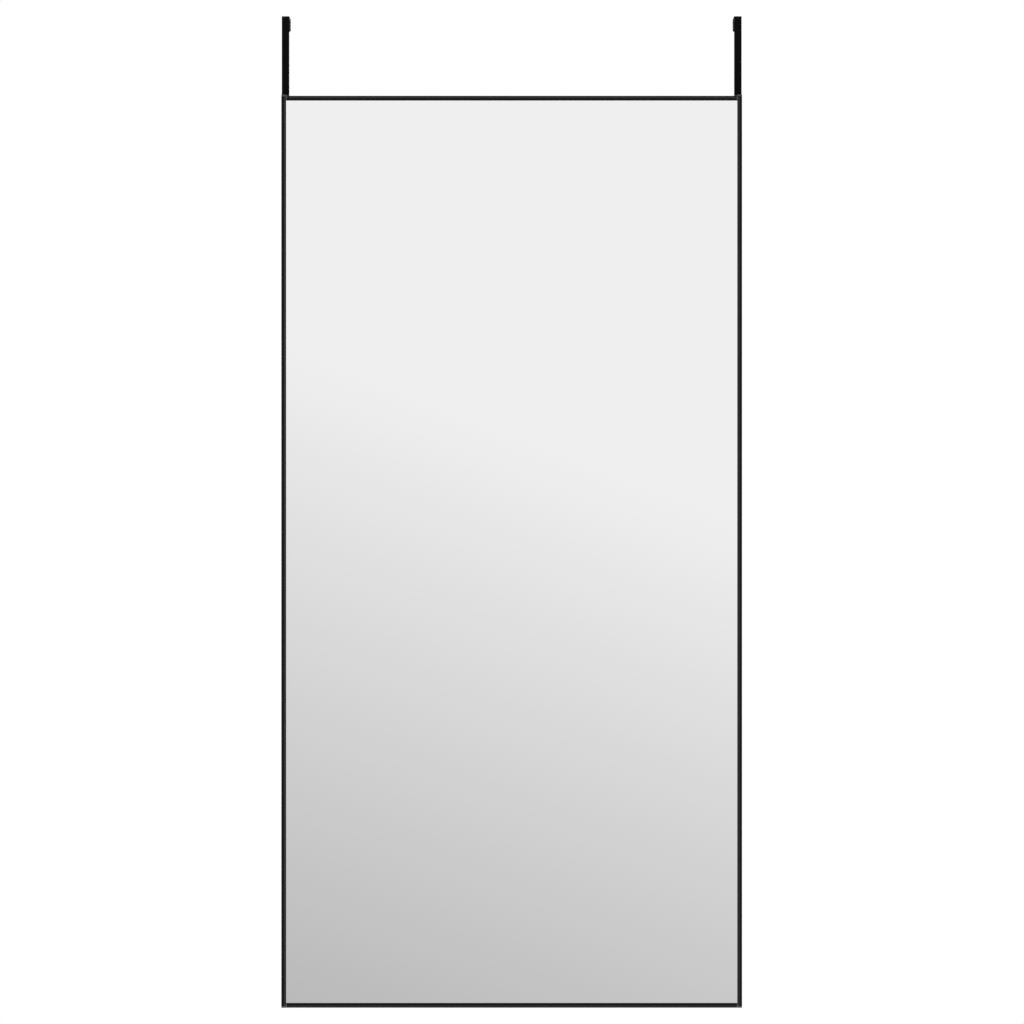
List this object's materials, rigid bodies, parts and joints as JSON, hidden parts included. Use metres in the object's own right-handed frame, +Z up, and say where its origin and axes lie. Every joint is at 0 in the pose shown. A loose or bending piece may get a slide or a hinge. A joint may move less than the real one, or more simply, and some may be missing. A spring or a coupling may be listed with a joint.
{
  "type": "over-the-door dressing mirror",
  "caption": "Rectangular dressing mirror in a slim black aluminium frame, hung over a door by bent steel strap hooks on its upper corners.",
  "frame": {"origin": "the door's top front edge, midway between the two hooks", "axes": "+Z up, +Y into the door so that the glass faces -Y, +X to the viewer's right"},
  "size_m": [0.5106, 0.065, 1.1001],
  "materials": {
    "mirror_glass": "polished",
    "hardboard": "matte",
    "frame": "satin",
    "hook_strap": "satin",
    "zinc_steel": "satin",
    "spring_steel": "satin",
    "black_screw": "satin",
    "black_plastic": "matte",
    "foam_pad": "matte",
    "bumper_rubber": "matte"
  },
  "bodies": {
    "root": {"mirror_glass": "mirror_glass", "back_board": "hardboard", "corner_set_screws": "black_screw", "hook_screws": "black_screw", "stile_left": "frame", "stile_right": "frame", "rail_bottom": "frame", "rail_top": "frame", "corner_angle_bottom_left": "zinc_steel", "corner_angle_bottom_right": "zinc_steel", "corner_angle_top_left": "zinc_steel", "corner_angle_top_right": "zinc_steel", "corner_shim_bottom_left": "zinc_steel", "corner_shim_bottom_right": "zinc_steel", "corner_shim_top_left": "zinc_steel", "corner_shim_top_right": "zinc_steel", "end_cap_bottom_left": "black_plastic", "end_cap_bottom_right": "black_plastic", "end_cap_top_left": "black_plastic", "end_cap_top_right": "black_plastic", "spring_clip_left_1": "spring_steel", "spring_clip_left_2": "spring_steel", "spring_clip_left_3": "spring_steel", "spring_clip_right_1": "spring_steel", "spring_clip_right_2": "spring_steel", "spring_clip_right_3": "spring_steel", "spring_clip_bottom_1": "spring_steel", "spring_clip_bottom_2": "spring_steel", "spring_clip_top_1": "spring_steel", "spring_clip_top_2": "spring_steel", "setting_block_left": "black_plastic", "setting_block_right": "black_plastic", "hook_left": "hook_strap", "hook_right": "hook_strap", "seat_pad_left": "foam_pad", "seat_pad_right": "foam_pad", "lip_pad_left": "foam_pad", "lip_pad_right": "foam_pad", "bumper_left": "bumper_rubber", "bumper_right": "bumper_rubber"}
  },
  "joints": []
}
